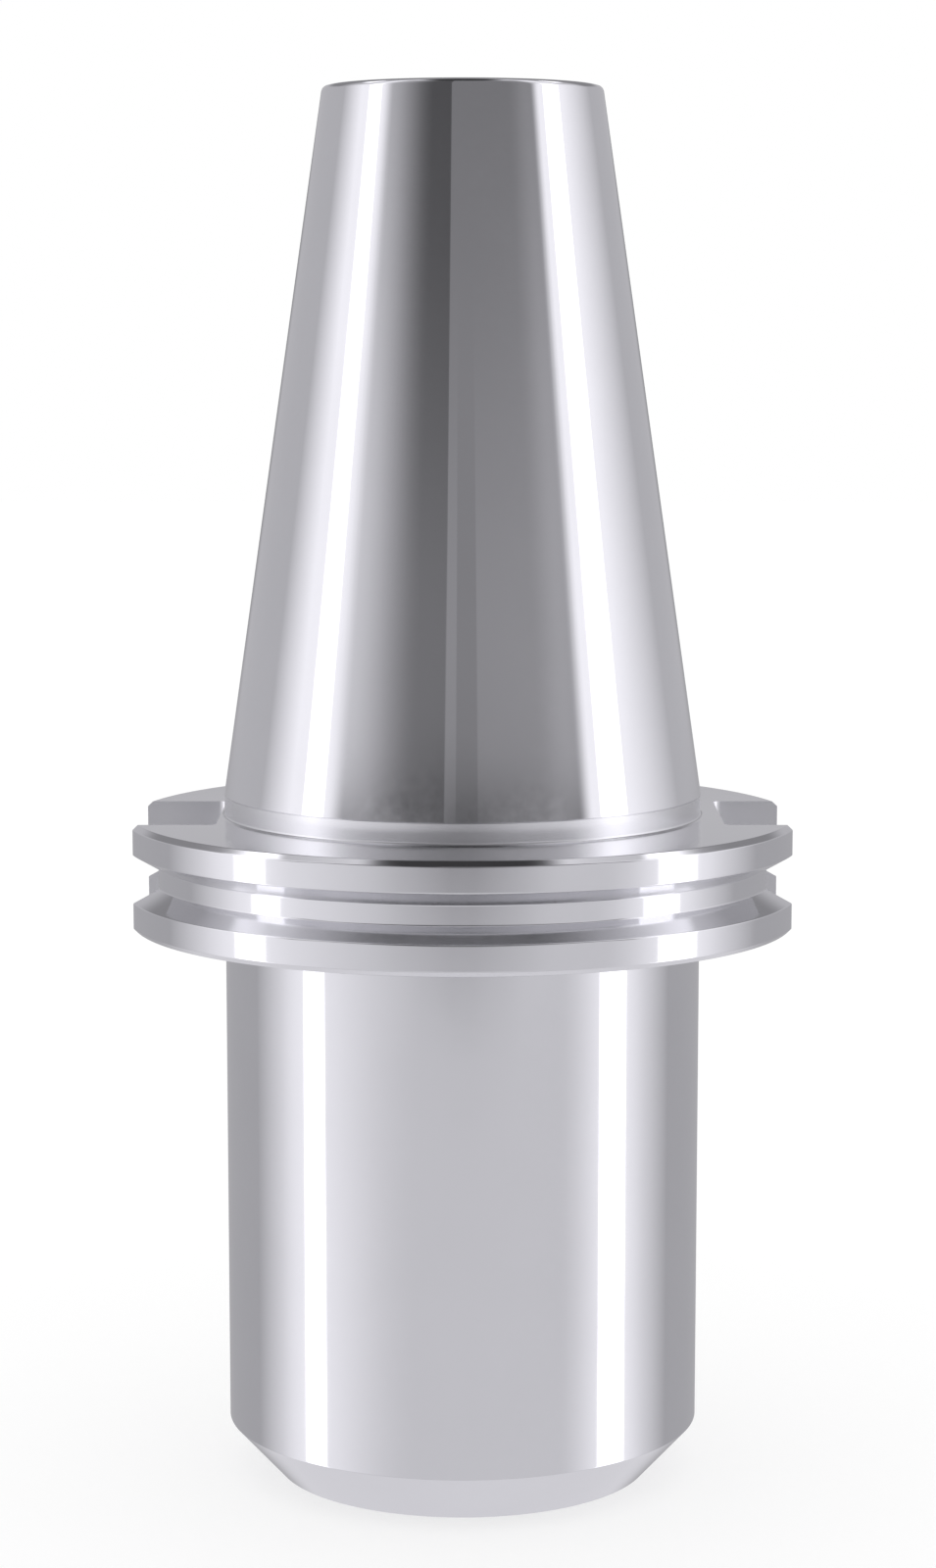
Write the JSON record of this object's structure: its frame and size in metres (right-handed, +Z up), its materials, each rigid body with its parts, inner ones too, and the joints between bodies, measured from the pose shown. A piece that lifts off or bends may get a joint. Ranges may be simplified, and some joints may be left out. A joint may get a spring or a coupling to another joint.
{
  "type": "end mill holder",
  "caption": "Steep-taper tool holder with a V-groove flange, drive slots and a straight bore, in which side set screws clamp an end mill's shank.",
  "frame": {"origin": "centre of the nose face, which the holder stands on", "axes": "+Z up the spindle axis from the nose to the small end of the taper; +X through the middle of the shallower drive slot; +Y towards the side-lock set screws, away from the picture's camera"},
  "size_m": [0.0948, 0.0984, 0.2032],
  "materials": {
    "ground_steel": "hardened, fine ground and polished, bright, no coating",
    "blackened_steel": "alloy steel with a black oxide finish"
  },
  "bodies": {
    "holder": {"holder_body": "ground_steel"},
    "lower_screw": {"lower_set_screw": "blackened_steel"},
    "upper_screw": {"upper_set_screw": "blackened_steel"}
  },
  "joints": [
    {"name": "lower_screw_travel", "type": "slide", "parent": "holder", "child": "lower_screw", "axis": [0, -1, 0], "range_m": [-0.0024, 0.003]},
    {"name": "upper_screw_travel", "type": "slide", "parent": "holder", "child": "upper_screw", "axis": [0, -1, 0], "range_m": [-0.0024, 0.003]}
  ]
}
